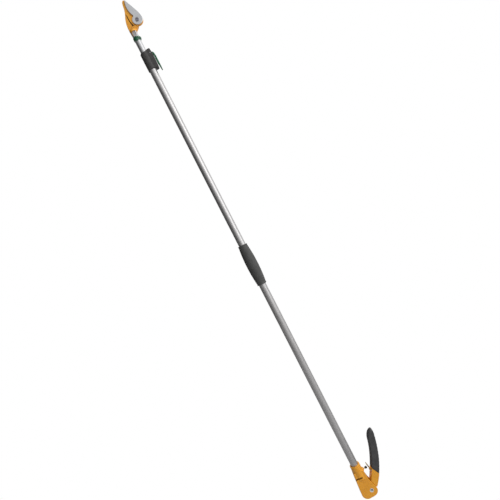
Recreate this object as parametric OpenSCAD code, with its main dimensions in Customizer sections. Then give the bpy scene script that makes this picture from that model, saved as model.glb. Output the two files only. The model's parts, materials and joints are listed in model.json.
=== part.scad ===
// Two-section telescoping pole pruner, millimetres, +Z along the pole towards the blade.
// The origin is the centre of the hollow lever pivot; +X points to the lever and the blade.
// It is drawn as stored: pole slid in, hand lever squeezed, blade closed.

/* [Pole] */
// Outside diameter of the lower tube
lower_tube_d = 23; // [22:0.5:30]
// Wall of the lower tube
lower_tube_wall = 1.5; // [1.2:0.1:2]
// Length of the lower tube
lower_tube_len = 1446; // [1100:1:1800]
// Wall of the upper tube
upper_tube_wall = 1.3; // [1:0.1:1.6]
// Length of the upper tube
upper_tube_len = 1356; // [1000:1:1400]
// Radial gap between the two tubes
tube_gap = 0.3; // [0.2:0.05:0.5]
// Travel of the upper section
extension = 1100; // [500:10:1100]
// Upper tube that stays in sight when the pole is slid in
neck_len = 75; // [60:1:120]

/* [Middle grip] */
// Length of the middle grip
grip_len = 136; // [90:1:180]
// Middle of the grip above the lever pivot
grip_mid_z = 790; // [500:1:900]
// Thickness of the grip at its ends
grip_end_t = 3.5; // [2.5:0.1:5]
// Thickness of the grip at its belly
grip_belly_t = 7.2; // [5:0.1:9]

/* [Handle] */
// Distance from the lever pivot to the pole axis
pole_off = 12; // [11:0.5:15]
// Wall of the sleeve round the lower tube
sleeve_wall = 4.4; // [3:0.1:5]
// Depth of the tube in the sleeve
sleeve_depth = 34; // [30:1:60]
// Height of the tube's seat above the lever pivot
seat_z = 54; // [50:1:60]
// Thickness of the handle
handle_t = 26; // [24:0.5:32]
// Wall of each handle cheek
cheek_t = 5.5; // [4:0.1:7]
// Bore of the hollow lever pivot, which is also the hanging hole
hang_hole_d = 10; // [6:0.5:10]
// Outside diameter of the hollow lever pivot
pivot_bush_d = 12; // [11:0.5:13]
// Distance from the lever pivot to the seam between handle and lever
seam_dist = 18.2; // [17:0.1:19]
// Direction of the seam's normal above the +X axis
seam_angle = 20.3; // [18:0.1:22]
// Gap of the seam
seam_gap = 0.6; // [0.4:0.1:1]

/* [Hand lever] */
// Swing of the hand lever from squeezed to open
lever_swing = 40; // [30:1:42]
// Thickness of the lever's grip sleeve
lever_grip_t = 24; // [20:0.5:26]
// Thickness of the bare lever
lever_t = 23; // [18:0.5:25]
// Cover of the grip sleeve over the lever's tang
tang_cover = 4; // [3:0.5:6]

/* [Clamp] */
// Height of the clamp body
clamp_h = 59; // [50:1:80]
// Lower tube inside the clamp body
clamp_hold = 28; // [20:1:28]
// Wall of the clamp body round the lower tube
clamp_wall = 2.3; // [2:0.1:4]
// Reach of the cam housing from the pole axis
clamp_reach = 23.2; // [21.5:0.1:26]

/* [Pull rods] */
// Diameter of the upper pull rod
rod_d = 6; // [5:0.5:7]
// Wall of the lower pull tube
pull_tube_wall = 1.5; // [1:0.1:2]
// Radial gap between the rod and the lower pull tube
rod_gap = 0.5; // [0.3:0.1:0.8]

/* [Head] */
// Thickness of the hook plate
hook_t = 5.5; // [4:0.5:8]
// Thickness of the blade
blade_t = 3.5; // [2.5:0.1:5]
// Radius of the blade's boss
boss_r = 16.2; // [15.8:0.1:17.5]
// Diameter of the blade's pivot bolt
bolt_d = 6; // [5:0.5:6.5]
// Distance from the blade pivot to its tail pin
tail_r = 11.5; // [11:0.1:11.8]
// Diameter of the tail pin
tail_pin_d = 4; // [3:0.5:4]

/* [Hidden] */
$fn = 64;

// Shared fits
run_fit = 0.06;
free_gap = 0.3;
eps = 0.1;
// Reach of cuts that go right through
far = 30;

// Pole
lower_r = lower_tube_d / 2;
lower_ir = lower_r - lower_tube_wall;
upper_r = lower_ir - tube_gap;
upper_ir = upper_r - upper_tube_wall;
lower_top = seat_z + lower_tube_len;
clamp_z = lower_top - clamp_hold;
clamp_top = clamp_z + clamp_h;
head_z = clamp_top + neck_len;
upper_z = head_z - upper_tube_len;
rod_r = rod_d / 2;
pull_ir = rod_r + rod_gap;
pull_r = pull_ir + pull_tube_wall;

// Motion of the pull rods: the yoke pin swings evenly to both sides of level
half_swing = lever_swing / 2;
pull_half = pole_off * tan(half_swing);
tail_half = asin(pull_half / tail_r);

// Handle
sleeve_r = lower_r + sleeve_wall;
sleeve_top = seat_z + sleeve_depth;
heel_r = sleeve_r + 3;
heel_x = -pole_off - 3.4;
cheek_in = handle_t / 2 - cheek_t;
root_half = cheek_in - 0.5;
arm_half = 4;
yoke_half = cheek_in - 0.8;
yoke_slot_half = arm_half + 0.4;
yoke_pin_r = 3;
yoke_w = 8;
root_r = seam_dist - cheek_t;
slit_z = 47;
slit_h = 4;
tunnel_r = lower_ir - 0.5;
handle_screw_r = 2;
handle_screw_head_r = 3.4;
handle_screw_head_t = 1.8;
handle_screw_z = [seat_z + 10, seat_z + 26];

// Latch: the stud stands out of the handle's ear, the bail swings on the lever's lug
latch_pivot = [26.4, 53];
latch_len = 20.7;
latch_rest = 102;
latch_tip = latch_pivot + latch_len * [cos(latch_rest), sin(latch_rest)];
latch_wire_r = 1.2;
latch_leg_y = 6;
latch_lug_r = 4;
latch_pin_r = 1.5;
latch_lug_half = 4.4;
latch_eye_r = 2.9;
latch_room_half = 1.6;
tang_half = 5;
stud_z = 64;
stud_r = 1.6;
knob_r = 3.7;
knob_x0 = 12.6;
knob_len = 7;
ear_x = 8;
ear_half = 5;

// Clamp
clamp_r = lower_r + clamp_wall;
clamp_lug_half = 11;
cam_x = 18;
cam_z = clamp_z + 49;
cam_r = 3.6;
cam_throw = 0.5;
cam_half = 4.5;
cam_slot_half = 5;
cam_pin_r = 1.5;
shoe_face = cam_x - cam_throw - cam_r - 0.2;
strap_half = 8;
clamp_screw_r = 1.6;
clamp_screw_z = [clamp_z + 7, clamp_z + 20];

// Rod clutch at the top of the lower pull tube
clutch_r = upper_ir - 1;
clutch_len = 40;
clutch_top = clamp_z - 12;
clutch_wall = 1.4;
jaw_len = 16;
jaw_r = clutch_r - clutch_wall - 0.4;

// Head, measured from the pole axis and the top of the upper tube
head_wall = 0.7;
head_r = upper_r + head_wall;
head_bore_r = 7.5;
spigot_len = 24;
sleeve_h = 7;
hook_y0 = -4;
hook_y1 = hook_y0 + hook_t;
blade_gap = 0.15;
blade_y1 = hook_y0 - blade_gap;
blade_y0 = blade_y1 - blade_t;
box_y1 = 8.5;
cover_t = 1.5;
plate_r = boss_r + 1.2;
bolt_r = bolt_d / 2;
bolt_head_r = bolt_r + 2.8;
bolt_head_t = 2.4;
link_eye_r = tail_pin_d / 2 + 2.3;
washer_r = tail_r - link_eye_r - 0.8;
washer_t = 1;
nut_r = washer_r - 0.6;
nut_t = 5;
nut_room = 11;
pivot = [28.2, 26.5];
boss_mid = pivot + [1.3, 0.3];
tail_pin_r = tail_pin_d / 2;
tail_rest = pivot - tail_r * [cos(tail_half), sin(tail_half)];
link_t = 2.5;
link_y0 = hook_y1 + 0.7;
link_half = 4.5;
strap_y0 = -rod_r - link_t;
link_z = -6;
window_half = 6;
window_h = 19;
rivet_r = 2;
rivet_drop = 5;
cover_screw_r = 1.2;
cover_screw_head_r = 2.2;
cover_screw_head_t = 1.2;

// Upper pull rod and its return spring
pull_bottom = 21;
rod_bottom = clutch_top - clutch_len - extension + 10;
guide_z = -110;
guide_t = 10;
spring_len = 50;
spring_collar_z = guide_z + guide_t + spring_len;
collar_t = 6;

// Outlines: arcs and single-bow curves as lists of points
function arc(c, r, from, to, n = 12) =
    [for (i = [0:n]) c + r * [cos(from + (to - from) * i / n), sin(from + (to - from) * i / n)]];
function bow(a, b, c, n = 12) =
    [for (i = [0:n]) let (t = i / n) (1 - t) * (1 - t) * a + 2 * t * (1 - t) * b + t * t * c];

// Seam between handle and lever: a point at the given height on a line at the given distance
function seam(dist, z) = [(dist - z * sin(seam_angle)) / cos(seam_angle), z];

module at_pole(z = 0) {
    translate([-pole_off, 0, z]) children();
}

// A flat outline in X and Z, given thickness between two places in Y
module slab(y0, y1) {
    translate([0, y1, 0]) rotate([90, 0, 0]) linear_extrude(y1 - y0) children();
}

// A round pin or hole along Y
module y_rod(p, r, y0, y1) {
    translate([p.x, y0, p.y]) rotate([-90, 0, 0]) cylinder(r = r, h = y1 - y0);
}

// A round pin or hole along X
module x_rod(y, z, r, x0, x1) {
    translate([x0, y, z]) rotate([0, 90, 0]) cylinder(r = r, h = x1 - x0);
}

module tube(r, ir, h) {
    difference() {
        cylinder(r = r, h = h);
        translate([0, 0, -eps]) cylinder(r = ir, h = h + 2 * eps);
    }
}

module ring(r, ir, z, h) {
    translate([0, 0, z]) tube(r, ir, h);
}

// A round wire from p to q in the XZ plane
module wire(p, q, y, r) {
    d = q - p;
    translate([p.x, y, p.y]) rotate([0, atan2(d.x, d.y), 0]) cylinder(r = r, h = norm(d));
}

// A coil spring as one swept wire, standing on z = 0
module coil(r, wire_r, len, turns) {
    steps = 16;
    sides = 8;
    rings = steps * turns;
    rise = len - 2 * wire_r;
    pts = [for (i = [0:rings]) for (j = [0:sides - 1])
        let (a = 360 * i / steps, b = 360 * j / sides, q = r + wire_r * cos(b))
        [q * cos(a), q * sin(a), wire_r + rise * i / rings + wire_r * sin(b)]];
    sides_of = [for (i = [0:rings - 1]) for (j = [0:sides - 1])
        let (k = (j + 1) % sides)
        [i * sides + j, (i + 1) * sides + j, (i + 1) * sides + k, i * sides + k]];
    ends = [[for (j = [0:sides - 1]) j], [for (j = [sides - 1:-1:0]) rings * sides + j]];
    polyhedron(points = pts, faces = concat(sides_of, ends), convexity = 10);
}

// Handle: a cheeked casting with a sleeve for the pole
handle_outline = concat(
    [[-pole_off - sleeve_r - 0.6, sleeve_top - 20]],
    [[-pole_off - sleeve_r - 2.2, seat_z]],
    arc([heel_x, -2], heel_r, 178, 270),
    arc([0, -1.8], seam_dist, 270, 350),
    [seam(seam_dist, 6), seam(seam_dist, 31), [sleeve_r - pole_off + 0.5, 51]],
    [[sleeve_r - pole_off, sleeve_top - 20]]);

// Room for the lever between the cheeks, open towards the lever
clevis_outline = concat(
    [[-pole_off - sleeve_r + 2, seat_z - 10]],
    arc([heel_x, -2], heel_r - cheek_t + 2, 178, 270),
    arc([0, -1.8], seam_dist - cheek_t + 2, 270, 312),
    [[40, -36], [40, 44], [sleeve_r - pole_off - 2, seat_z - 10]]);

module handle_casting() color([0.88, 0.56, 0.12]) {
    difference() {
        union() {
            slab(-handle_t / 2, handle_t / 2) polygon(handle_outline);
            at_pole(slit_z - 6) cylinder(r = sleeve_r, h = sleeve_top - slit_z + 6);
            slab(-ear_half, ear_half) polygon(concat(
                [[-pole_off + lower_r + 1, stud_z - 10]],
                arc([ear_x - 6, stud_z], 6, -60, 60),
                [[-pole_off + lower_r + 1, stud_z + 8]]));
        }
        slab(-cheek_in, cheek_in) polygon(clevis_outline);
        at_pole(seat_z - 11) cylinder(r = tunnel_r, h = 20);
        at_pole(seat_z) cylinder(r = lower_r, h = sleeve_depth + 1);
        y_rod([0, 0], pivot_bush_d / 2, -handle_t, handle_t);
        // slit across the front and left of the sleeve
        translate([-pole_off - 30, -30, slit_z]) cube([34, 30, slit_h]);
        x_rod(0, stud_z, stud_r, 0, 30);
        for (s = handle_screw_z) at_pole() y_rod([0, s], handle_screw_r, 0, 30);
    }
}

module handle_screws() color([0.6, 0.6, 0.62]) {
    for (s = handle_screw_z) at_pole() {
        y_rod([0, s], handle_screw_r, lower_ir - 1, sleeve_r + 0.5);
        y_rod([0, s], handle_screw_head_r, sleeve_r, sleeve_r + handle_screw_head_t);
    }
}

module pivot_bush() color([0.72, 0.73, 0.75]) {
    difference() {
        y_rod([0, 0], pivot_bush_d / 2, -handle_t / 2 - 0.4, handle_t / 2 + 0.4);
        y_rod([0, 0], hang_hole_d / 2, -handle_t, handle_t);
    }
}

// Thin washers that fill the play on both sides of the lever
module pivot_washers() color([0.2, 0.2, 0.2]) {
    for (s = [-1, 1]) difference() {
        y_rod([0, 0], 9, s * (root_half + cheek_in) / 2 - 0.2, s * (root_half + cheek_in) / 2 + 0.2);
        y_rod([0, 0], pivot_bush_d / 2, -handle_t, handle_t);
    }
}

module latch_stud() color([0.8, 0.62, 0.25]) {
    x_rod(0, stud_z, stud_r, 1, knob_x0 + knob_len - 1.5);
}

module latch_knob() color([0.1, 0.1, 0.1]) {
    difference() {
        translate([knob_x0, 0, stud_z]) rotate([0, 90, 0]) rotate_extrude() polygon(concat(
            [[0, 0]],
            arc([knob_r - 1.5, 1.5], 1.5, -90, 0, 6),
            arc([knob_r - 2.5, knob_len - 2.5], 2.5, 0, 90, 6),
            [[0, knob_len]]));
        x_rod(0, stud_z, stud_r, 0, knob_x0 + knob_len - 1.5);
    }
}

// Hand lever: bare part, tang and root in one casting
grip_tip_z = 168.5;
lever_outline = concat(
    bow(seam(seam_dist + seam_gap, 0.5), [69.8, 58], [86.8, 155]),
    bow([86.8, 155], [88, 167], [82, grip_tip_z], 6),
    bow([82, grip_tip_z], [66, 157], [61, 140], 6),
    bow([61, 140], [52, 92], seam(seam_dist + seam_gap, 24)));

// The grip sleeve starts on a slanted line across the lever
grip_side = [[15, 88.5], [52, 18.8], [110, 100], [110, 200], [30, 200]];
short_side = [[15, 88.5], [52, 18.8], [30, -30], [-10, 10]];

module lever_casting() color([0.93, 0.6, 0.13]) {
    difference() {
        union() {
            slab(-lever_t / 2, lever_t / 2) intersection() {
                polygon(lever_outline);
                polygon(short_side);
            }
            slab(-tang_half, tang_half) offset(delta = -tang_cover) polygon(lever_outline);
            slab(-root_half, root_half) {
                circle(r = pole_off - yoke_w / 2 - free_gap);
                polygon(concat(
                    arc([0, 0], root_r, -83, -60, 3),
                    [seam(seam_dist + seam_gap, 0.5) + [1, 0.5], seam(seam_dist + seam_gap, 24) + [1, 0.5]],
                    arc([0, 0], root_r, 85, 110, 3),
                    [[0, 0]]));
            }
            slab(-arm_half, arm_half) rotate(half_swing) polygon(concat(
                [[0, -7]], arc([-pole_off - 1, 0], 6, 270, 90), [[0, 7]]));
            slab(-latch_lug_half, latch_lug_half) {
                translate(latch_pivot) circle(r = latch_lug_r);
                polygon([latch_pivot + [-2, -3.4], latch_pivot + [6, -9], latch_pivot + [8, -2],
                    latch_pivot + [1, 3.8]]);
            }
        }
        y_rod([0, 0], pivot_bush_d / 2 + run_fit, -handle_t, handle_t);
        // slot that the yoke pin slides in
        slab(-handle_t, handle_t) rotate(half_swing) {
            for (d = [pole_off, pole_off / cos(half_swing)]) translate([-d, 0])
                circle(r = yoke_pin_r + 0.2);
            translate([-pole_off / cos(half_swing), -yoke_pin_r - 0.2])
                square([pole_off / cos(half_swing) - pole_off, 2 * yoke_pin_r + 0.4]);
        }
        y_rod(latch_pivot, latch_pin_r, -handle_t, handle_t);
        latch_room();
    }
}

// Pockets on both sides of the lever's lug for the eyes and legs of the bail
module latch_room() {
    for (s = [-1, 1]) slab(s * latch_leg_y - latch_room_half, s * latch_leg_y + latch_room_half) {
        translate(latch_pivot) circle(r = latch_eye_r + free_gap);
        polygon([latch_pivot + [-4, -1], latch_pivot + [-4, 14], latch_pivot + [3.6, 14],
            latch_pivot + [2.4, 0]]);
    }
}

module lever_grip() color([0.28, 0.28, 0.28]) {
    difference() {
        intersection() {
            slab(-lever_grip_t / 2, lever_grip_t / 2) intersection() {
                polygon(lever_outline);
                polygon(grip_side);
            }
            // nose rounded as seen from the side
            rotate([90, 0, 90]) linear_extrude(110) polygon(concat(
                [[-lever_grip_t / 2, 0]],
                arc([0, grip_tip_z - lever_grip_t / 2], lever_grip_t / 2, 180, 0, 20),
                [[lever_grip_t / 2, 0]]));
        }
        slab(-tang_half, tang_half) offset(delta = -tang_cover) polygon(lever_outline);
        y_rod(latch_pivot, 9, -latch_lug_half, latch_lug_half);
        latch_room();
    }
}

module latch_pin() color([0.7, 0.7, 0.72]) {
    y_rod(latch_pivot, latch_pin_r, -latch_leg_y - 3, latch_leg_y + 3);
}

module latch_bail() color([0.8, 0.62, 0.25]) {
    along = [cos(latch_rest), sin(latch_rest)];
    for (s = [-1, 1]) {
        difference() {
            y_rod(latch_pivot, latch_eye_r, s * latch_leg_y - 1.2, s * latch_leg_y + 1.2);
            y_rod(latch_pivot, latch_pin_r + run_fit, -handle_t, handle_t);
        }
        wire(latch_pivot + 2.2 * along, latch_tip, s * latch_leg_y, latch_wire_r - 0.15);
    }
    y_rod(latch_tip, latch_wire_r, -latch_leg_y - latch_wire_r, latch_leg_y + latch_wire_r);
}

module lower_tube() color([0.72, 0.73, 0.74]) {
    at_pole() difference() {
        ring(lower_r, lower_ir, seat_z, lower_tube_len);
        for (s = handle_screw_z) y_rod([0, s], handle_screw_r, 0, 30);
        for (s = clamp_screw_z) y_rod([0, s], clamp_screw_r, 0, 30);
    }
}

module mid_grip() color([0.3, 0.3, 0.29]) {
    half = grip_len / 2;
    lip = 4;
    r_end = lower_r + grip_end_t;
    r_belly = lower_r + grip_belly_t;
    at_pole(grip_mid_z) rotate_extrude() polygon(concat(
        [[lower_r, -half], [r_end - 1, -half]],
        arc([r_end - 1, -half + 1.5], 1.5, -80, 30, 4),
        bow([r_end - 0.4, -half + lip], [r_belly, -half / 2], [r_belly, 0]),
        bow([r_belly, 0], [r_belly, half / 2], [r_end - 0.4, half - lip]),
        arc([r_end - 1, half - 1.5], 1.5, -30, 80, 4),
        [[r_end - 1, half], [lower_r, half]]));
}

// Bush at the foot of the lower tube that keeps the pull tube central
module rod_guide_low() color([0.15, 0.15, 0.15]) {
    at_pole() ring(lower_ir, pull_r + run_fit, seat_z + 40, 14);
}

// Ring in the top of the lower tube that the foot bush of the upper section comes up to
module tube_stop_ring() color([0.5, 0.5, 0.52]) {
    at_pole() ring(lower_r, upper_r + free_gap, lower_top, 2);
}

module clamp_body() color([0.25, 0.25, 0.25]) {
    bulge = concat(
        [[0, 1.5]],
        arc([clamp_reach - 5, 4.5], 4, -90, -10, 6),
        [[clamp_reach, 22], [clamp_reach, 45]],
        arc([clamp_reach - 4.5, clamp_h + 1], 3, 10, 90, 6),
        [[clamp_reach - 10, clamp_h + 4], [0, clamp_h]]);
    difference() {
        union() {
            at_pole(clamp_z) cylinder(r = clamp_r, h = clamp_h);
            at_pole(clamp_z) slab(-clamp_lug_half, clamp_lug_half) polygon(bulge);
        }
        at_pole(clamp_z - eps) cylinder(r = lower_r, h = clamp_h - 2 + eps);
        at_pole(clamp_z) cylinder(r = upper_r + free_gap, h = clamp_h + 10);
        at_pole() {
            translate([0, -cam_slot_half, cam_z - 11]) cube([40, 2 * cam_slot_half, 40]);
            y_rod([cam_x, cam_z], cam_pin_r, -far, far);
            for (s = clamp_screw_z) y_rod([0, s], clamp_screw_r, 0, 30);
        }
    }
}

// Split bush that the cam presses on to the upper tube
module clamp_bush() color([0.12, 0.12, 0.12]) {
    at_pole() difference() {
        ring(lower_r, upper_r + run_fit, lower_top + 2, clamp_top - lower_top - 4);
        translate([-40, -1, lower_top]) cube([40, 2, clamp_h]);
    }
}

module clamp_shoe() color([0.75, 0.6, 0.3]) {
    at_pole() difference() {
        translate([0, -cam_half, cam_z - 7]) cube([shoe_face, 2 * cam_half, 13]);
        translate([0, 0, cam_z - 10]) cylinder(r = lower_r, h = 20);
    }
}

module clamp_screws() color([0.6, 0.6, 0.62]) {
    for (s = clamp_screw_z) at_pole() y_rod([0, s], clamp_screw_r, lower_ir, clamp_r - 0.2);
}

module cam_pin() color([0.7, 0.7, 0.72]) {
    at_pole() y_rod([cam_x, cam_z], cam_pin_r, -clamp_lug_half + 0.3, clamp_lug_half - 0.3);
}

// Cam lever: narrow eccentric in the housing, wide strap folded down along it
module cam_lever() color([0.06, 0.34, 0.2]) {
    reach = clamp_reach + 0.5;
    strap = concat(
        [[reach, -7], [reach, -34], [reach + 1, -44]],
        arc([reach + 4, -56], 1.8, 200, 340, 6),
        bow([reach + 5.8, -54], [reach + 6, -34], [reach + 6, -14]),
        [[reach + 3.4, -8]]);
    at_pole() translate([0, 0, cam_z]) {
        slab(-strap_half, strap_half) polygon(strap);
        difference() {
            slab(-cam_half, cam_half) {
                translate([cam_x - cam_throw, 0]) circle(r = cam_r);
                polygon(concat(
                    [[cam_x, cam_r], [reach + 1.4, 3]],
                    bow([reach + 1.4, 3], [reach + 5.4, 0], [reach + 5.8, -14], 6),
                    [[reach + 0.2, -14], [reach + 0.2, -6], [cam_x, -cam_r]]));
            }
            y_rod([cam_x, 0], cam_pin_r + run_fit, -far, far);
        }
    }
}

// Fork that straddles the lever's short arm and pulls the tube
module yoke() color([0.62, 0.63, 0.65]) {
    foot = -pull_half - yoke_pin_r - 2.2;
    neck = 12;
    shank = 26;
    at_pole() difference() {
        union() {
            translate([-yoke_w / 2, -yoke_half, foot]) cube([yoke_w, 2 * yoke_half, neck - foot]);
            translate([0, 0, neck - 1]) cylinder(r = pull_r, h = 10);
            translate([0, 0, neck]) cylinder(r = pull_ir, h = shank);
        }
        translate([-10, -yoke_slot_half, foot - 1]) cube([20, 2 * yoke_slot_half, neck - foot - 3]);
        y_rod([0, -pull_half], yoke_pin_r, -far, far);
    }
}

module yoke_pin() color([0.7, 0.7, 0.72]) {
    at_pole() y_rod([0, -pull_half], yoke_pin_r, -yoke_half, yoke_half);
}

module pull_tube() color([0.66, 0.67, 0.69]) {
    at_pole() ring(pull_r, pull_ir, pull_bottom, clutch_top - clutch_len - pull_bottom);
}

// Rod clutch: a coned housing whose jaws bite the rod when it is pulled
module clutch_housing() color([0.45, 0.46, 0.48]) {
    z0 = clutch_top - clutch_len;
    at_pole(z0) difference() {
        cylinder(r = clutch_r, h = clutch_len);
        translate([0, 0, -eps]) cylinder(r = rod_r + rod_gap, h = clutch_len);
        translate([0, 0, 6]) cylinder(r = clutch_r - clutch_wall, h = clutch_len);
    }
}

module clutch_jaws() color([0.75, 0.6, 0.3]) {
    z0 = clutch_top - clutch_len + 7;
    at_pole(z0) for (a = [0, 120, 240]) rotate(a) difference() {
        rotate_extrude(angle = 110) polygon([[rod_r + run_fit, 0], [jaw_r - 1.5, 0],
            [jaw_r, jaw_len], [rod_r + run_fit, jaw_len]]);
        translate([0, 0, jaw_len - 4]) cylinder(r = rod_r + 0.6, h = 1.5);
    }
}

module clutch_spring() color([0.6, 0.6, 0.62]) {
    at_pole(clutch_top - clutch_len + 8 + jaw_len) coil(rod_r + 1.6, 0.5, 11, 5);
}

module clutch_cap() color([0.15, 0.15, 0.15]) {
    at_pole() {
        ring(clutch_r - clutch_wall, rod_r + 0.2, clutch_top - 4, 4);
        ring(clutch_r, rod_r + 0.2, clutch_top, 2);
    }
}

module upper_tube() color([0.76, 0.77, 0.78]) {
    at_pole() difference() {
        ring(upper_r, upper_ir, upper_z, upper_tube_len);
        translate([-window_half, -30, head_z - window_h + window_half]) cube([2 * window_half, 30, 40]);
        y_rod([0, head_z - window_h + window_half], window_half, -30, 0);
        for (s = [-1, 1]) x_rod(0, head_z - rivet_drop, rivet_r, s * 15 - 15, s * 15 + 15);
    }
}

// Nylon plug at the foot of the upper tube
module foot_bush() color([0.12, 0.12, 0.12]) {
    at_pole() {
        ring(upper_ir, pull_r + 1, upper_z, 16);
        ring(upper_r, pull_r + 1, upper_z - 5, 5);
    }
}

// Stop collar: a ring with a flange that leans down to the lever side and a tongue at the front
module stop_collar() color([0.04, 0.36, 0.2]) {
    r = upper_r + 1.7;
    at_pole(head_z - 36) difference() {
        union() {
            translate([0, 0, 8]) cylinder(r = r, h = 8);
            translate([1.4, 0, 10]) rotate([0, 14, 0]) cylinder(r = r + 0.7, h = 5);
            intersection() {
                cylinder(r = r, h = 12);
                slab(-far, far) polygon([[-r, 11], [-8, 7.5], [-1.8, 1], [5, 3], [10.5, 4.5], [r, 11]]);
            }
        }
        translate([0, 0, -10]) cylinder(r = upper_r, h = 50);
    }
}

module rod_guide_high() color([0.15, 0.15, 0.15]) {
    at_pole(head_z) ring(upper_ir, rod_r + run_fit, guide_z, guide_t);
}

module return_spring() color([0.6, 0.6, 0.62]) {
    at_pole(head_z + guide_z + guide_t + 0.2) coil(rod_r + 1.8, 0.7, spring_len - 0.4, 9);
}

// Hook plate, flank and gearbox of the head, in X and Z from the pole axis
hook_outline = concat(
    [[6, 28], [4.2, 40], [4.1, 50], [3.8, 58], [1.4, 60]],
    bow([1.4, 60], [6.2, 72], [7.4, 84], 8),
    bow([7.4, 84], [8.8, 97.5], [13.6, 101], 6),
    bow([13.6, 101], [18.8, 102.6], [20, 96.5], 6),
    bow([20, 96.5], [14, 68], [24, 46], 12),
    arc(pivot, plate_r, 100, -112, 24),
    [[16.3, 9.4], [11.5, 6], [-1, 8.5], [2.2, 14], [6.8, 17.8], [7, 24]]);

box_outline = concat(
    [[-head_r, 0], [-head_r, 19]],
    bow([-head_r, 19], [-8.5, 42], [1.4, 60], 8),
    [[6, 58], [24, 46], [29, 41.5], [29, 20], [24, 14.5], [20.5, 10.2], [head_r + 0.4, 1.5],
        [head_r, 0]]);

flank_outline = concat(
    [[-head_r, 0], [-head_r, 19]],
    bow([-head_r, 19], [-8.5, 42], [1.4, 60], 8),
    [[5.4, 58], [6, 40], [7.4, 28], [13, 16.8], [13, 6], [head_r, 0]]);

cavity_outline = [[-head_bore_r, -1], [-6.5, 30], [0, 46], [20, 46], [22.5, 36], [22.5, 18], [12, 7],
    [head_bore_r, -1]];

// Groove along the left edge of the hook plate, and the hole that it runs down into
groove_outline = [[4.6, 58.6], [5.2, 50], [5.2, 40], [6.6, 28], [8.8, 19.5], [11, 16.4], [3.4, 15.2],
    [6.2, 20], [4.4, 28], [2.8, 40], [3, 50]];
groove_hole = [[8.3, 18.9], [9.8, 16.9], [5, 16.1], [6.7, 19.1]];

// Curved slot in the hook plate that the tail pin runs in
module tail_slot() {
    half = tail_pin_r + 0.4;
    translate(pivot) {
        intersection() {
            difference() {
                circle(r = tail_r + half);
                circle(r = tail_r - half);
            }
            polygon([[0, 0], far * [-cos(tail_half), sin(tail_half)],
                far * [-cos(tail_half), -sin(tail_half)]]);
        }
        for (s = [-1, 1]) translate(tail_r * [-cos(tail_half), s * sin(tail_half)]) circle(r = half);
    }
}

cover_screw_at = [[0.2 - (head_r + head_bore_r) / 2, 12], [14, 50], [25.8, 41.2]];

module head_casting() color([0.9, 0.58, 0.15]) {
    at_pole(head_z) difference() {
        union() {
            intersection() {
                cylinder(r = head_r, h = sleeve_h);
                translate([-head_r, -head_r, 0]) cube([2 * head_r, head_r + box_y1, sleeve_h]);
            }
            translate([0, 0, -spigot_len]) cylinder(r = upper_ir, h = spigot_len + 1);
            slab(hook_y0, hook_y1) polygon(hook_outline);
            slab(hook_y0 + 1.6, box_y1) polygon(flank_outline);
            slab(hook_y1 - 1, box_y1) difference() {
                polygon(box_outline);
                translate(pivot) circle(r = nut_room);
            }
        }
        translate([0, 0, -spigot_len - 1]) cylinder(r = head_bore_r, h = spigot_len + 12);
        translate([-window_half + 1, -30, -spigot_len - 1]) cube([2 * window_half - 2, 30, spigot_len + 1]);
        slab(hook_y1, box_y1 + 1) polygon(cavity_outline);
        slab(hook_y0 - 1, hook_y1 + 1) tail_slot();
        slab(hook_y0 - 1, hook_y1 - 1) polygon(groove_outline);
        slab(hook_y0 - 1, hook_y1 + 1) polygon(groove_hole);
        y_rod(pivot, bolt_r, -far, far);
        for (p = cover_screw_at) y_rod(p, cover_screw_r, box_y1 - 5, box_y1 + 1);
        for (s = [-1, 1]) x_rod(0, -rivet_drop, rivet_r, s * 15 - 15, s * 15 + 15);
    }
}

module head_rivets() color([0.7, 0.7, 0.72]) {
    at_pole(head_z) for (s = [-1, 1]) {
        x_rod(0, -rivet_drop, rivet_r, min(s * (head_bore_r + 0.4), s * upper_r),
            max(s * (head_bore_r + 0.4), s * upper_r));
    }
}

module head_cover() color([0.9, 0.58, 0.15]) {
    at_pole(head_z) difference() {
        slab(box_y1, box_y1 + cover_t) polygon(box_outline);
        y_rod(pivot, nut_room, -far, far);
        for (p = cover_screw_at) y_rod(p, cover_screw_r, 0, 30);
    }
}

module cover_screws() color([0.6, 0.6, 0.62]) {
    at_pole(head_z) for (p = cover_screw_at) {
        y_rod(p, cover_screw_r, box_y1 - 5, box_y1 + cover_t);
        y_rod(p, cover_screw_head_r, box_y1 + cover_t, box_y1 + cover_t + cover_screw_head_t);
    }
}

module pivot_bolt() color([0.55, 0.54, 0.57]) {
    head_y = blade_y0 - 0.1;
    at_pole(head_z) {
        difference() {
            y_rod(pivot, bolt_head_r, head_y - bolt_head_t, head_y);
            translate([pivot.x, head_y - bolt_head_t - 1, pivot.y]) rotate([-90, 0, 0])
                cylinder(r = bolt_head_r / 2.2, h = 2.2, $fn = 6);
        }
        y_rod(pivot, bolt_r, head_y, hook_y1 + washer_t + nut_t + 1);
    }
}

module pivot_washer() color([0.7, 0.7, 0.72]) {
    at_pole(head_z) difference() {
        y_rod(pivot, washer_r, hook_y1, hook_y1 + washer_t);
        y_rod(pivot, bolt_r, -far, far);
    }
}

module pivot_nut() color([0.7, 0.7, 0.72]) {
    at_pole(head_z) difference() {
        translate([pivot.x, hook_y1 + washer_t, pivot.y]) rotate([-90, 0, 0])
            cylinder(r = nut_r, h = nut_t, $fn = 6);
        y_rod(pivot, bolt_r, -far, far);
    }
}

heel = [22.6, 42.4];
blade_tip = [20.2, 99];
blade_outline = concat(
    bow(blade_tip, [29, 79], [38, 57], 8),
    bow([38, 57], [boss_mid.x + boss_r, 39], boss_mid + [boss_r, 0], 8),
    arc(boss_mid, boss_r, 0, -202, 36),
    [[16.9, 37], [20.6, 39.6]],
    bow(heel, [8.6, 69.5], blade_tip));

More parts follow.
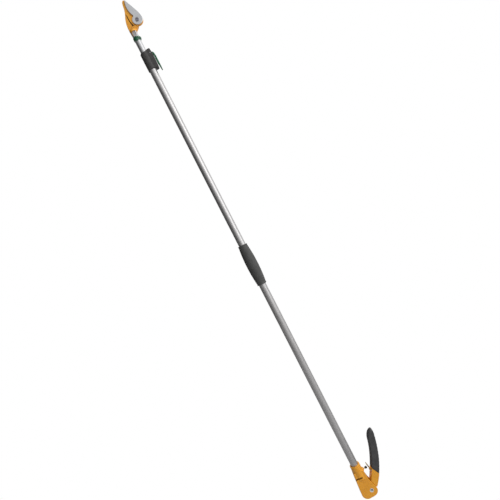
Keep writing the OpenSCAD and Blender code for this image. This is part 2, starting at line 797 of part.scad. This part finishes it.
module blade() color([0.76, 0.78, 0.8]) {
    at_pole(head_z) difference() {
        slab(blade_y0, blade_y1) polygon(blade_outline);
        y_rod(pivot, bolt_r + run_fit, -far, far);
        y_rod(tail_rest, tail_pin_r, blade_y0 + 1, 30);
    }
}

module tail_pin() color([0.6, 0.6, 0.62]) {
    at_pole(head_z) y_rod(tail_rest, tail_pin_r, blade_y0 + 1, link_y0 + link_t + 0.5);
}

module pull_rod() color([0.7, 0.71, 0.72]) {
    at_pole() translate([0, 0, rod_bottom]) cylinder(r = rod_r, h = head_z + link_z - rod_bottom);
}

module spring_collar() color([0.7, 0.6, 0.3]) {
    at_pole(head_z) ring(rod_r + 3, rod_r, spring_collar_z, collar_t);
}

// Cranked link: a strap on the front of the rod, a bridge over its end, an eye at the tail pin
module pull_link() color([0.85, 0.86, 0.87]) {
    eye_mid = [(tail_rest.x + pivot.x - tail_r) / 2, tail_rest.y];
    slot_half = (tail_rest.x - pivot.x + tail_r) / 2;
    at_pole(head_z) difference() {
        union() {
            slab(strap_y0, strap_y0 + link_t) {
                translate([0, -14]) circle(r = link_half);
                translate([-link_half, -14]) square([2 * link_half, 14 + link_z + 4]);
            }
            translate([-link_half, strap_y0, link_z])
                cube([2 * link_half, link_y0 + link_t - strap_y0, 4]);
            slab(link_y0, link_y0 + link_t) {
                polygon([[-link_half, link_z], [link_half, link_z], [6, 2], eye_mid + [2.9, -3],
                    eye_mid + [-2.9, 3], [-2.5, 6]]);
                translate(eye_mid) circle(r = link_eye_r);
            }
        }
        slab(-far, far) {
            for (s = [-1, 1]) translate(eye_mid + [s * slot_half, 0]) circle(r = tail_pin_r + 0.2);
            translate(eye_mid - [slot_half, tail_pin_r + 0.2])
                square([2 * slot_half, 2 * tail_pin_r + 0.4]);
        }
    }
}

module link_rivets() color([0.6, 0.6, 0.62]) {
    at_pole(head_z) y_rod([0, -14], 2.4, strap_y0 - 1, strap_y0);
}

handle_casting();
handle_screws();
pivot_bush();
pivot_washers();
latch_stud();
latch_knob();
lower_tube();
mid_grip();
rod_guide_low();
tube_stop_ring();
clamp_body();
clamp_bush();
clamp_shoe();
clamp_screws();
cam_pin();
cam_lever();
lever_casting();
lever_grip();
latch_pin();
latch_bail();
yoke();
yoke_pin();
pull_tube();
clutch_housing();
clutch_jaws();
clutch_spring();
clutch_cap();
upper_tube();
foot_bush();
stop_collar();
rod_guide_high();
return_spring();
head_casting();
head_rivets();
head_cover();
cover_screws();
pivot_bolt();
pivot_washer();
pivot_nut();
blade();
tail_pin();
pull_rod();
spring_collar();
pull_link();
link_rivets();
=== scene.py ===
import json
import math

import bpy
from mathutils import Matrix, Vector


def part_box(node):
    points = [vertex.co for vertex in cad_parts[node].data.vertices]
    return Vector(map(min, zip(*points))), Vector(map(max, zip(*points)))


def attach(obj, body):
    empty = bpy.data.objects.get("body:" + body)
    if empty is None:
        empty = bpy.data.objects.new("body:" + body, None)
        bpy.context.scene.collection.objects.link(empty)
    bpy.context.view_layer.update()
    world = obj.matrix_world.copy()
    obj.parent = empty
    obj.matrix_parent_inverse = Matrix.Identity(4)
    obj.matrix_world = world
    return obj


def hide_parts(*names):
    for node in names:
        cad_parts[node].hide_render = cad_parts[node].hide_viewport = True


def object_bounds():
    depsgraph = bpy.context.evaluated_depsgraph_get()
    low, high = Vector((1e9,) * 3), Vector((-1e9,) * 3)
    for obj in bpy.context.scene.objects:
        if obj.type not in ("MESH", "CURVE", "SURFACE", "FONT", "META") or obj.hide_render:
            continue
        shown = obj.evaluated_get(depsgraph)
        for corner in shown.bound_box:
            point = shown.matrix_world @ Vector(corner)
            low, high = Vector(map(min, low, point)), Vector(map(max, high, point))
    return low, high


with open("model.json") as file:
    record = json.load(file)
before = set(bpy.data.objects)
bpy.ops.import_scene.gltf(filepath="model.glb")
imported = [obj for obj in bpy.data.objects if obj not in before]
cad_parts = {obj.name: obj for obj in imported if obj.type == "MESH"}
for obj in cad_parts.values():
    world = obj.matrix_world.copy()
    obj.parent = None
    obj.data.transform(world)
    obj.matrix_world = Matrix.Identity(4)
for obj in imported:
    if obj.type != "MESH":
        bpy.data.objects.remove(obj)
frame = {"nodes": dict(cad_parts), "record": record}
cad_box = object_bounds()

MM = 0.001
nodes = frame["nodes"]

# --- Room ---------------------------------------------------------------------------------
# A white room: the pruner is held upright, clear of a plain pale floor. Soft light comes from
# the lever side, so the round tubes turn from dark to bright across their width.
scene = bpy.context.scene
scene.view_settings.view_transform = "Standard"

POLE_X = sum(corner.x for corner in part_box("lower_tube")) / 2
FLOOR_DROP = 0.30
ROLL = math.radians(27.07)
VIEW_DISTANCE = 1.22
VIEW_WIDTH = 1.5645
VIEW_SIDE = 0.0146
VIEW_HEIGHT = 0.834
SENSOR = 36

camera_data = bpy.data.cameras.new("camera")
camera_data.sensor_width = SENSOR
camera_data.lens = SENSOR * VIEW_DISTANCE / VIEW_WIDTH
camera = bpy.data.objects.new("camera", camera_data)
scene.collection.objects.link(camera)
camera.location = (POLE_X + VIEW_SIDE, -VIEW_DISTANCE, VIEW_HEIGHT)
camera.rotation_euler = (math.radians(90), ROLL, 0)
scene.camera = camera

class Wire:
    """One socket in a node tree, so that a pattern can be written as plain arithmetic."""

    def __init__(self, board, socket):
        self.board = board
        self.socket = socket

    def sum(self, operation, one, two):
        return self.board.node("ShaderNodeMath", {"operation": operation}, {0: one, 1: two})

    def __add__(self, other):
        return self.sum("ADD", self, other)

    def __radd__(self, other):
        return self.sum("ADD", other, self)

    def __sub__(self, other):
        return self.sum("SUBTRACT", self, other)

    def __rsub__(self, other):
        return self.sum("SUBTRACT", other, self)

    def __mul__(self, other):
        return self.sum("MULTIPLY", self, other)

    def __rmul__(self, other):
        return self.sum("MULTIPLY", other, self)


class Board:
    """A node tree that nodes are put on."""

    def __init__(self, tree):
        self.tree = tree

    def node(self, kind, settings=None, values=None, out=0):
        """Adds a node with its settings and its sockets' values or wires; gives one output."""
        node = self.tree.nodes.new(kind)
        for key, value in (settings or {}).items():
            setattr(node, key, value)
        for key, value in (values or {}).items():
            socket = node.inputs[key] if isinstance(key, int) else next(
                s for s in node.inputs if s.enabled and s.name == key)
            if isinstance(value, Wire):
                self.tree.links.new(value.socket, socket)
            else:
                socket.default_value = value
        return Wire(self, [s for s in node.outputs if s.enabled][out])

    def along(self, vector, axis):
        """One coordinate of a vector: 0, 1 or 2."""
        return self.node("ShaderNodeSeparateXYZ", None, {"Vector": vector}, out=axis)

    def band(self, value, low, high, to_low=0.0, to_high=1.0):
        """The value between low and high, spread from to_low to to_high and held outside."""
        return self.node("ShaderNodeMapRange", {"interpolation_type": "SMOOTHSTEP"},
                         {"Value": value, "From Min": low, "From Max": high,
                          "To Min": to_low, "To Max": to_high})


ROOM_DARK = 0.06
ROOM_BRIGHT = 0.95
world = bpy.data.worlds.new("room")
world.use_nodes = True
scene.world = world
room = Board(world.node_tree)
direction = room.node("ShaderNodeTexCoord", out=0)
upward = 0.85 + 0.35 * room.along(direction, 2)
glow = room.band(room.along(direction, 0), -0.85, 0.65, ROOM_DARK, ROOM_BRIGHT) * upward
seen = room.node("ShaderNodeLightPath")
strength = room.node("ShaderNodeMix", None, {"Factor": seen, "A": glow, "B": 1.0})
background = world.node_tree.nodes["Background"]
background.inputs["Color"].default_value = (1, 1, 1, 1)
world.node_tree.links.new(strength.socket, background.inputs["Strength"])


def soft_light(name, place, target, size, watts):
    """A large soft lamp at a place, aimed at a target."""
    data = bpy.data.lights.new(name, "AREA")
    data.shape = "RECTANGLE"
    data.size, data.size_y = size
    data.energy = watts
    lamp = bpy.data.objects.new(name, data)
    lamp.location = place
    lamp.rotation_euler = (Vector(target) - Vector(place)).to_track_quat("-Z", "Y").to_euler()
    scene.collection.objects.link(lamp)


soft_light("key", (1.5, -1.1, 1.5), (POLE_X, 0, 0.9), (0.9, 1.8), 17)

class Finish(Board):
    """A material round one Principled shader."""

    def __init__(self, name, **fixed):
        self.material = bpy.data.materials.new(name)
        self.material.use_nodes = True
        super().__init__(self.material.node_tree)
        self.shader = self.tree.nodes["Principled BSDF"]
        for key, value in fixed.items():
            self.shader.inputs[key.replace("_", " ").title().replace("Ior", "IOR")].default_value = value

    def place(self, stretch=(1, 1, 1)):
        """Positions on the piece, in metres, stretched for a grain that has a direction."""
        here = self.node("ShaderNodeTexCoord", out=3)
        return self.node("ShaderNodeMapping", None, {"Vector": here, "Scale": stretch})

    def noise(self, per_metre, stretch=(1, 1, 1), detail=3.0):
        return self.node("ShaderNodeTexNoise", None,
                         {"Vector": self.place(stretch), "Scale": per_metre, "Detail": detail})

    def blend(self, factor, one, two):
        return self.node("ShaderNodeMix", {"data_type": "RGBA"}, {"Factor": factor, "A": one, "B": two})

    def feed(self, name, wire):
        self.tree.links.new(wire.socket, self.shader.inputs[name])

    def bump(self, height, depth, strength):
        rough = self.node("ShaderNodeBump", None,
                          {"Height": height, "Distance": depth, "Strength": strength})
        self.feed("Normal", rough)


bpy.ops.mesh.primitive_grid_add(x_subdivisions=8, y_subdivisions=8, size=8,
                                location=(0, 0, cad_box[0][2] - FLOOR_DROP))
floor = bpy.context.object
floor.name = "floor"
pale = Finish("pale_floor", base_color=(0.6, 0.6, 0.6, 1), roughness=0.9)
lit_floor = Wire(pale, pale.shader.outputs[0])
seen_floor = pale.node("ShaderNodeMixShader", None, {
    0: pale.node("ShaderNodeLightPath"), 1: lit_floor, 2: pale.node("ShaderNodeEmission")})
pale.tree.links.new(seen_floor.socket, pale.tree.nodes["Material Output"].inputs["Surface"])
floor.data.materials.append(pale.material)


# --- Finishes of the drawn tubes ----------------------------------------------------------
# Both pole sections are drawn aluminium tube, satin anodised. Drawing leaves fine lines along
# the tube, and the sliding section polishes and scuffs a little.
def darker(colour, share):
    return tuple(share * c for c in colour[:3]) + (1,)


def drawn_tube(name, colour, worn):
    """Satin tube: lines along the drawing direction, faint blotches, long scuffs."""
    finish = Finish(name, metallic=1.0)
    lines = finish.noise(1400, (1, 1, 0.012), 2.0)
    blotch = finish.noise(22, (1, 1, 0.5), 4.0)
    scuff = finish.band(finish.noise(260, (1, 1, 0.03), 2.0), 0.66, 0.74)
    dull = darker(colour, 0.86)
    finish.feed("Base Color", finish.blend(finish.band(lines + blotch * 0.5, 0.5, 1.0), dull, colour))
    finish.feed("Roughness", 0.42 + 0.10 * blotch + 0.07 * lines - worn * scuff)
    finish.bump(lines, 0.00004, 0.5)
    return finish.material


LOWER_ALU = drawn_tube("anodised_lower", (0.60, 0.59, 0.59, 1), 0.02)
UPPER_ALU = drawn_tube("anodised_upper", (0.66, 0.66, 0.67, 1), 0.05)


def dress(node, material):
    """Gives a CAD part a finish."""
    mesh = nodes[node].data
    if not mesh.materials:
        mesh.materials.append(material)
    for i in range(len(mesh.materials)):
        mesh.materials[i] = material


dress("lower_tube", LOWER_ALU)
dress("upper_tube", UPPER_ALU)
dress("tube_stop_ring", LOWER_ALU)


# --- Handle casting -----------------------------------------------------------------------
# A hollow aluminium casting, painted orange: a sleeve for the pole above, two cheeks for the
# lever below. Sand-cast edges are round, and the paint is a little thin on them.
def pick(*objects):
    """Selects these objects and nothing else, the first one active."""
    bpy.ops.object.select_all(action="DESELECT")
    for each in objects:
        each.select_set(True)
    bpy.context.view_layer.objects.active = objects[0]


def apply_all(piece):
    """Applies the piece's modifiers in order."""
    pick(piece)
    for modifier in list(piece.modifiers):
        bpy.ops.object.modifier_apply(modifier=modifier.name)


def soft_copy(node, name, cell, rounds):
    """A copy of a CAD part, its edges and inner corners rounded over a few cells' width."""
    piece = bpy.data.objects.new(name, nodes[node].data.copy())
    scene.collection.objects.link(piece)
    pick(piece)
    bpy.ops.object.mode_set(mode="EDIT")
    bpy.ops.mesh.select_all(action="SELECT")
    bpy.ops.mesh.remove_doubles(threshold=0.001 * MM)
    bpy.ops.object.mode_set(mode="OBJECT")
    skin = piece.modifiers.new("skin", "REMESH")
    skin.mode = "VOXEL"
    skin.voxel_size = cell
    soften = piece.modifiers.new("soften", "SMOOTH")
    soften.factor = 0.5
    soften.iterations = rounds
    apply_all(piece)
    bpy.ops.object.shade_smooth()
    return piece


def finish_piece(piece, body, material, node):
    """Paints a piece, hangs it on its body and says which CAD part it stands for."""
    piece.data.materials.clear()
    piece.data.materials.append(material)
    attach(piece, body)
    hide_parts(node)


def inside(finish, low, high, soft=0.4 * MM):
    """One inside a box given by two corners, zero outside it."""
    here = finish.node("ShaderNodeTexCoord", out=3)
    mask = 1.0
    for axis in range(3):
        along = finish.along(here, axis)
        mask = mask * finish.band(along, low[axis] - soft, low[axis] + soft)
        mask = mask * finish.band(along, high[axis] - soft, high[axis] + soft, 1.0, 0.0)
    return mask


# Near-black colour painted into recesses as painted shade
PAINTED_SHADE = (0.03, 0.018, 0.008, 1)


def cast_paint(name, colour, deep, shaded_hollow):
    """Paint on a casting: orange peel, tone changes, dirt, and painted shade, near black, in one hollow
    box.
    """
    finish = Finish(name, metallic=0.0, coat_weight=0.25, coat_roughness=0.25)
    cloud = finish.noise(38, detail=4.0)
    peel = finish.noise(700, detail=2.0)
    grit = finish.noise(2600, detail=3.0)
    dirt = finish.band(finish.noise(120, detail=6.0), 0.55, 0.75)
    tone = finish.blend(finish.band(cloud, 0.3, 0.7), deep, colour)
    grime = darker(deep, 0.72)
    worn = finish.blend(dirt * 0.35, tone, grime)
    # From here worn also carries painted shade: the hollow box is painted near-black
    if shaded_hollow:
        worn = finish.blend(inside(finish, *shaded_hollow), worn, PAINTED_SHADE)
    finish.feed("Base Color", worn)
    finish.feed("Roughness", 0.40 + 0.14 * dirt + 0.08 * cloud)
    finish.bump(peel + grit * 0.5, 0.00012, 0.55)
    return finish.material


# Corners of a box round the slit across the front and left of the sleeve, painted near-black there as
# painted shade
SLIT_SHADE_BOX = ((-45 * MM, -20 * MM, 46.9 * MM), (-7.8 * MM, 2 * MM, 51.1 * MM))
HANDLE_PAINT = cast_paint("handle_paint", (0.98, 0.43, 0.024, 1), (0.92, 0.385, 0.020, 1),
                          SLIT_SHADE_BOX)
handle = soft_copy("handle_casting", "handle_body", 0.8 * MM, 6)
finish_piece(handle, "handle", HANDLE_PAINT, "handle_casting")


# --- Hand lever ---------------------------------------------------------------------------
# One painted casting: boss, short arm for the pull rod, bare root and a tang that carries the
# grip. A shade brighter than the handle.
LEVER_PAINT = cast_paint("lever_paint", (0.98, 0.44, 0.024, 1), (0.93, 0.40, 0.020, 1), None)
lever = soft_copy("lever_casting", "lever_body", 0.6 * MM, 3)
finish_piece(lever, "hand_lever", LEVER_PAINT, "lever_casting")


# --- Lever grip ---------------------------------------------------------------------------
# A moulded rubber sleeve pushed over the tang. Its sides are well rounded and its outer edge
# has shallow finger waves.
def moulded_rubber(name, colour, pale, grain):
    """Rubber or foam skin: fine grain, pores, and slightly polished high spots."""
    finish = Finish(name, metallic=0.0, specular_ior_level=0.35)
    cloud = finish.noise(60, detail=4.0)
    fine = finish.noise(grain, detail=4.0)
    pores = finish.band(finish.noise(grain * 2.2, detail=2.0), 0.30, 0.42)
    finish.feed("Base Color", finish.blend(finish.band(cloud * 0.6 + fine * 0.6, 0.45, 0.8), colour, pale))
    finish.feed("Roughness", 0.72 - 0.14 * cloud + 0.06 * fine)
    finish.bump(fine + pores * 0.6, 0.00025, 0.6)
    return finish.material


WAVE_PITCH = 10.5 * MM
WAVE_DEPTH = 0.45 * MM
RUBBER = moulded_rubber("lever_rubber", (0.060, 0.060, 0.061, 1), (0.086, 0.085, 0.086, 1), 1500)
lever_grip = soft_copy("lever_grip", "lever_grip_sleeve", 0.9 * MM, 26)
OUTER_EDGE_TILT = math.radians(20)
outward = Vector((math.cos(OUTER_EDGE_TILT), 0, -math.sin(OUTER_EDGE_TILT)))
for vertex in lever_grip.data.vertices:
    facing = max(0.0, vertex.normal.dot(outward)) ** 2
    reach = math.hypot(vertex.co.x, vertex.co.z)
    vertex.co -= vertex.normal * WAVE_DEPTH * facing * (1 + math.cos(math.tau * reach / WAVE_PITCH)) / 2
finish_piece(lever_grip, "hand_lever", RUBBER, "lever_grip")


# --- Clamp body and its cam lever ---------------------------------------------------------
# A glass-filled nylon moulding with a spark-eroded texture, and a green acetal lever whose
# eccentric presses a shoe on the split bush.
def textured_nylon(name, colour, pale):
    """Black moulding with a coarse eroded texture and pale rubbed patches."""
    finish = Finish(name, metallic=0.0, specular_ior_level=0.4)
    spark = finish.node("ShaderNodeTexVoronoi", None, {"Vector": finish.place(), "Scale": 1300.0})
    cloud = finish.noise(90, detail=5.0)
    finish.feed("Base Color", finish.blend(finish.band(cloud + spark * 0.5, 0.6, 1.1), colour, pale))
    finish.feed("Roughness", 0.58 + 0.12 * cloud)
    finish.bump(spark + cloud * 0.4, 0.0003, 0.6)
    return finish.material


def gloss_moulding(name, colour, deep):
    """Glossy coloured plastic with faint flow marks and hairline scratches."""
    finish = Finish(name, metallic=0.0, coat_weight=0.5, coat_roughness=0.08)
    flow = finish.noise(70, (1, 1, 0.3), 3.0)
    hair = finish.band(finish.noise(900, (1, 0.08, 1), 2.0), 0.64, 0.70)
    finish.feed("Base Color", finish.blend(finish.band(flow, 0.3, 0.7), deep, colour))
    finish.feed("Roughness", 0.24 + 0.10 * flow + 0.12 * hair)
    finish.bump(flow + hair * 0.3, 0.00006, 0.4)
    return finish.material


NYLON = textured_nylon("clamp_nylon", (0.052, 0.050, 0.050, 1), (0.078, 0.075, 0.074, 1))
GREEN = gloss_moulding("green_acetal", (0.004, 0.125, 0.050, 1), (0.003, 0.095, 0.036, 1))
clamp = soft_copy("clamp_body", "clamp_housing", 0.6 * MM, 8)
finish_piece(clamp, "handle", NYLON, "clamp_body")
cam = soft_copy("cam_lever", "cam_strap", 0.4 * MM, 4)
finish_piece(cam, "cam_lever", GREEN, "cam_lever")


# --- Stop collar --------------------------------------------------------------------------
# A green moulded ring on the upper tube. Its leaning flange meets the clamp when the pole is
# pushed in, and guides twigs off the tube.
collar = soft_copy("stop_collar", "collar_ring", 0.4 * MM, 6)
finish_piece(collar, "upper_section", GREEN, "stop_collar")


# --- Middle grip --------------------------------------------------------------------------
# A foam rubber barrel shrunk on the lower tube, with a small lip at each end and a skin that
# shows fine pores.
FOAM = moulded_rubber("grip_foam", (0.070, 0.070, 0.069, 1), (0.095, 0.095, 0.093, 1), 1100)
mid_grip = soft_copy("mid_grip", "middle_grip", 0.8 * MM, 4)
finish_piece(mid_grip, "handle", FOAM, "mid_grip")


# --- Head casting and rear cover ----------------------------------------------------------
# The hook and the gearbox behind it are one painted aluminium casting, with its groove painted near-black
# as shade.
# A flat cover closes the gearbox at the back.
# Corners of a box round the groove beside the hook, above the top of the upper tube, painted near-black
# there as painted shade
HEAD_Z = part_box("upper_tube")[1].z
GROOVE_SHADE_BOX = ((POLE_X + 2.7 * MM, -2.2 * MM, HEAD_Z + 15.2 * MM),
          (POLE_X + 11.2 * MM, 1.2 * MM, HEAD_Z + 59 * MM))
HEAD_PAINT = cast_paint("head_paint", (0.95, 0.43, 0.030, 1), (0.88, 0.37, 0.024, 1),
                        GROOVE_SHADE_BOX)
head = soft_copy("head_casting", "head_body", 0.55 * MM, 4)
finish_piece(head, "upper_section", HEAD_PAINT, "head_casting")
cover = soft_copy("head_cover", "head_rear_cover", 0.4 * MM, 3)
finish_piece(cover, "upper_section", HEAD_PAINT, "head_cover")


# --- Blade --------------------------------------------------------------------------------
# A flat ground blade of hardened steel. Its cutting edge has a wide ground bevel on the
# outer face, and the grinding lines run across the blade.
def ground_steel(name, colour, dark, direction, rough):
    """Bright steel with grinding lines, a few longer scratches and faint stains."""
    finish = Finish(name, metallic=1.0)
    lines = finish.noise(2200, direction, 2.0)
    stain = finish.noise(70, detail=5.0)
    scratch = finish.band(finish.noise(500, direction, 1.0), 0.66, 0.72)
    finish.feed("Base Color", finish.blend(finish.band(lines * 0.6 + stain * 0.6, 0.4, 0.85), dark, colour))
    finish.feed("Roughness", rough + 0.10 * lines + 0.10 * stain - 0.05 * scratch)
    finish.bump(lines + scratch * 0.5, 0.00003, 0.5)
    return finish.material


BLADE_STEEL = ground_steel("blade_steel", (0.78, 0.79, 0.81, 1), (0.68, 0.69, 0.71, 1), (1, 1, 0.06), 0.34)
blade = soft_copy("blade", "cutting_blade", 0.35 * MM, 2)
finish_piece(blade, "blade", BLADE_STEEL, "blade")


# --- Small turned and bent steel and brass parts ------------------------------------------
# Bolt, nut, washers, pins, rivets and screws are zinc plated; the latch is brass wire on a
# brass stud with a black knob; the bushes are black nylon.
ZINC = ground_steel("zinc_plate", (0.62, 0.63, 0.65, 1), (0.50, 0.51, 0.53, 1), (1, 1, 1), 0.34)
BOLT = ground_steel("bolt_black_zinc", (0.36, 0.34, 0.38, 1), (0.27, 0.26, 0.29, 1), (1, 1, 1), 0.38)
BRASS = ground_steel("brass", (0.72, 0.50, 0.20, 1), (0.60, 0.40, 0.14, 1), (1, 0.2, 1), 0.30)
KNOB = gloss_moulding("knob_black", (0.018, 0.018, 0.020, 1), (0.012, 0.012, 0.013, 1))
NATURAL = gloss_moulding("natural_nylon", (0.92, 0.92, 0.91, 1), (0.88, 0.88, 0.86, 1))
small_finishes = {
    "grip_foam": FOAM, "grip_rubber": RUBBER, "black_nylon": NYLON, "green_plastic": GREEN,
    "zinc_steel": ZINC, "bolt_steel": BOLT, "brass": BRASS, "knob_black": KNOB,
    "blade_steel": BLADE_STEEL, "orange_paint": HANDLE_PAINT, "natural_nylon": NATURAL,
}
for part in frame["record"]["subparts"]:
    if part["material_slot"] in small_finishes:
        dress(part["node"], small_finishes[part["material_slot"]])
